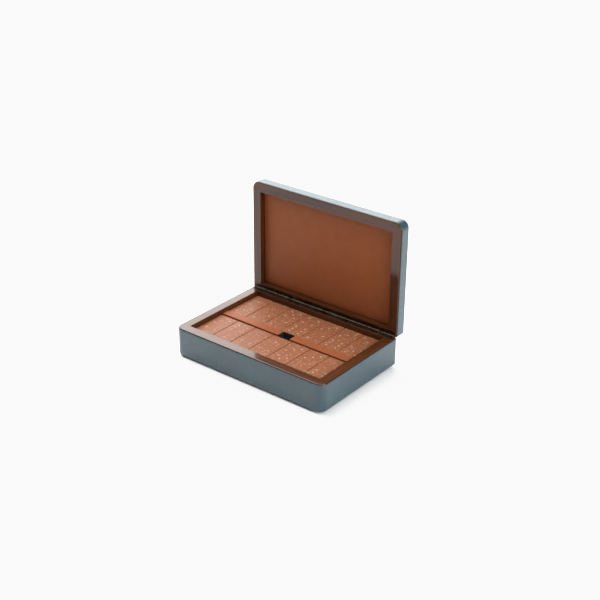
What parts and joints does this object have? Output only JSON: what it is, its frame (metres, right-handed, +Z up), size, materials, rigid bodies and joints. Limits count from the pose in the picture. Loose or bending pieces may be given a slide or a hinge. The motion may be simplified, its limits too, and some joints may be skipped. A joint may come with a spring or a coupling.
{
  "type": "domino storage box",
  "caption": "Low rectangular leather-covered box with a hinged lid that stands open on a stop, glossy wood rims, and a tray of dominoes laid flat in rows beside a divider with a finger well.",
  "frame": {"origin": "centre of the box's plan, on the underside that it stands on", "axes": "+X along the hinge to the right as seen from the front, +Y from the front to the hinge, +Z up"},
  "size_m": [0.2008, 0.147, 0.166],
  "materials": {
    "walnut_rim": "glossy lacquer",
    "blue_grey_leather": "fine pebbled grain, satin",
    "inner_board": "bare board",
    "underside_felt": "felt",
    "tray_lining_cloth": "dark velvet",
    "terracotta_lining": "suede cloth on card",
    "hinge_metal": "antiqued, brushed",
    "hinge_screw_metal": "antiqued",
    "domino_terracotta": "satin, faintly mottled"
  },
  "bodies": {
    "base": {"base_rail_front": "walnut_rim", "base_rail_back": "walnut_rim", "base_rail_left": "walnut_rim", "base_rail_right": "walnut_rim", "base_floor_panel": "inner_board", "base_leather_cover": "blue_grey_leather", "base_underside_pad": "underside_felt", "tray_lining": "tray_lining_cloth", "divider_left": "terracotta_lining", "divider_right": "terracotta_lining", "hinge_leaf_base": "hinge_metal", "hinge_pin": "hinge_metal", "hinge_screws_base": "hinge_screw_metal"},
    "lid": {"lid_rail_front": "walnut_rim", "lid_rail_back": "walnut_rim", "lid_rail_left": "walnut_rim", "lid_rail_right": "walnut_rim", "lid_top_panel": "inner_board", "lid_leather_cover": "blue_grey_leather", "lid_lining_panel": "terracotta_lining", "hinge_leaf_lid": "hinge_metal", "hinge_screws_lid": "hinge_screw_metal"},
    "tile_0_0": {"tile_0_0": "domino_terracotta"},
    "tile_0_1": {"tile_0_1": "domino_terracotta"},
    "tile_0_5": {"tile_0_5": "domino_terracotta"},
    "tile_1_1": {"tile_1_1": "domino_terracotta"},
    "tile_1_2": {"tile_1_2": "domino_terracotta"},
    "tile_2_2": {"tile_2_2": "domino_terracotta"},
    "tile_2_6": {"tile_2_6": "domino_terracotta"},
    "tile_3_3": {"tile_3_3": "domino_terracotta"},
    "tile_3_4": {"tile_3_4": "domino_terracotta"},
    "tile_4_4": {"tile_4_4": "domino_terracotta"},
    "tile_4_5": {"tile_4_5": "domino_terracotta"},
    "tile_5_5": {"tile_5_5": "domino_terracotta"},
    "tile_5_6": {"tile_5_6": "domino_terracotta"},
    "tile_6_6": {"tile_6_6": "domino_terracotta"},
    "tile_1_3": {"tile_1_3": "domino_terracotta"},
    "tile_0_2": {"tile_0_2": "domino_terracotta"},
    "tile_2_5": {"tile_2_5": "domino_terracotta"},
    "tile_4_6": {"tile_4_6": "domino_terracotta"},
    "tile_2_3": {"tile_2_3": "domino_terracotta"},
    "tile_3_6": {"tile_3_6": "domino_terracotta"},
    "tile_1_5": {"tile_1_5": "domino_terracotta"},
    "tile_2_4": {"tile_2_4": "domino_terracotta"},
    "tile_1_6": {"tile_1_6": "domino_terracotta"},
    "tile_0_4": {"tile_0_4": "domino_terracotta"},
    "tile_1_4": {"tile_1_4": "domino_terracotta"},
    "tile_3_5": {"tile_3_5": "domino_terracotta"},
    "tile_0_3": {"tile_0_3": "domino_terracotta"},
    "tile_0_6": {"tile_0_6": "domino_terracotta"}
  },
  "joints": [
    {"name": "lid_hinge", "type": "hinge", "parent": "base", "child": "lid", "pos_m": [0, 0.0652, 0.0352], "axis": [-1, 0, 0], "range_deg": [-90, 0]},
    {"name": "lift_tile_0_0", "type": "slide", "parent": "base", "child": "tile_0_0", "axis": [0, 0, 1], "range_m": [0, 0.04]},
    {"name": "lift_tile_1_3", "type": "slide", "parent": "tile_0_0", "child": "tile_1_3", "axis": [0, 0, 1], "range_m": [0, 0.025]},
    {"name": "lift_tile_0_1", "type": "slide", "parent": "base", "child": "tile_0_1", "axis": [0, 0, 1], "range_m": [0, 0.04]},
    {"name": "lift_tile_0_2", "type": "slide", "parent": "tile_0_1", "child": "tile_0_2", "axis": [0, 0, 1], "range_m": [0, 0.025]},
    {"name": "lift_tile_0_5", "type": "slide", "parent": "base", "child": "tile_0_5", "axis": [0, 0, 1], "range_m": [0, 0.04]},
    {"name": "lift_tile_2_5", "type": "slide", "parent": "tile_0_5", "child": "tile_2_5", "axis": [0, 0, 1], "range_m": [0, 0.025]},
    {"name": "lift_tile_1_1", "type": "slide", "parent": "base", "child": "tile_1_1", "axis": [0, 0, 1], "range_m": [0, 0.04]},
    {"name": "lift_tile_4_6", "type": "slide", "parent": "tile_1_1", "child": "tile_4_6", "axis": [0, 0, 1], "range_m": [0, 0.025]},
    {"name": "lift_tile_1_2", "type": "slide", "parent": "base", "child": "tile_1_2", "axis": [0, 0, 1], "range_m": [0, 0.04]},
    {"name": "lift_tile_2_3", "type": "slide", "parent": "tile_1_2", "child": "tile_2_3", "axis": [0, 0, 1], "range_m": [0, 0.025]},
    {"name": "lift_tile_2_2", "type": "slide", "parent": "base", "child": "tile_2_2", "axis": [0, 0, 1], "range_m": [0, 0.04]},
    {"name": "lift_tile_3_6", "type": "slide", "parent": "tile_2_2", "child": "tile_3_6", "axis": [0, 0, 1], "range_m": [0, 0.025]},
    {"name": "lift_tile_2_6", "type": "slide", "parent": "base", "child": "tile_2_6", "axis": [0, 0, 1], "range_m": [0, 0.04]},
    {"name": "lift_tile_1_5", "type": "slide", "parent": "tile_2_6", "child": "tile_1_5", "axis": [0, 0, 1], "range_m": [0, 0.025]},
    {"name": "lift_tile_3_3", "type": "slide", "parent": "base", "child": "tile_3_3", "axis": [0, 0, 1], "range_m": [0, 0.04]},
    {"name": "lift_tile_2_4", "type": "slide", "parent": "tile_3_3", "child": "tile_2_4", "axis": [0, 0, 1], "range_m": [0, 0.025]},
    {"name": "lift_tile_3_4", "type": "slide", "parent": "base", "child": "tile_3_4", "axis": [0, 0, 1], "range_m": [0, 0.04]},
    {"name": "lift_tile_1_6", "type": "slide", "parent": "tile_3_4", "child": "tile_1_6", "axis": [0, 0, 1], "range_m": [0, 0.025]},
    {"name": "lift_tile_4_4", "type": "slide", "parent": "base", "child": "tile_4_4", "axis": [0, 0, 1], "range_m": [0, 0.04]},
    {"name": "lift_tile_0_4", "type": "slide", "parent": "tile_4_4", "child": "tile_0_4", "axis": [0, 0, 1], "range_m": [0, 0.025]},
    {"name": "lift_tile_4_5", "type": "slide", "parent": "base", "child": "tile_4_5", "axis": [0, 0, 1], "range_m": [0, 0.04]},
    {"name": "lift_tile_1_4", "type": "slide", "parent": "tile_4_5", "child": "tile_1_4", "axis": [0, 0, 1], "range_m": [0, 0.025]},
    {"name": "lift_tile_5_5", "type": "slide", "parent": "base", "child": "tile_5_5", "axis": [0, 0, 1], "range_m": [0, 0.04]},
    {"name": "lift_tile_3_5", "type": "slide", "parent": "tile_5_5", "child": "tile_3_5", "axis": [0, 0, 1], "range_m": [0, 0.025]},
    {"name": "lift_tile_5_6", "type": "slide", "parent": "base", "child": "tile_5_6", "axis": [0, 0, 1], "range_m": [0, 0.04]},
    {"name": "lift_tile_0_3", "type": "slide", "parent": "tile_5_6", "child": "tile_0_3", "axis": [0, 0, 1], "range_m": [0, 0.025]},
    {"name": "lift_tile_6_6", "type": "slide", "parent": "base", "child": "tile_6_6", "axis": [0, 0, 1], "range_m": [0, 0.04]},
    {"name": "lift_tile_0_6", "type": "slide", "parent": "tile_6_6", "child": "tile_0_6", "axis": [0, 0, 1], "range_m": [0, 0.025]}
  ]
}
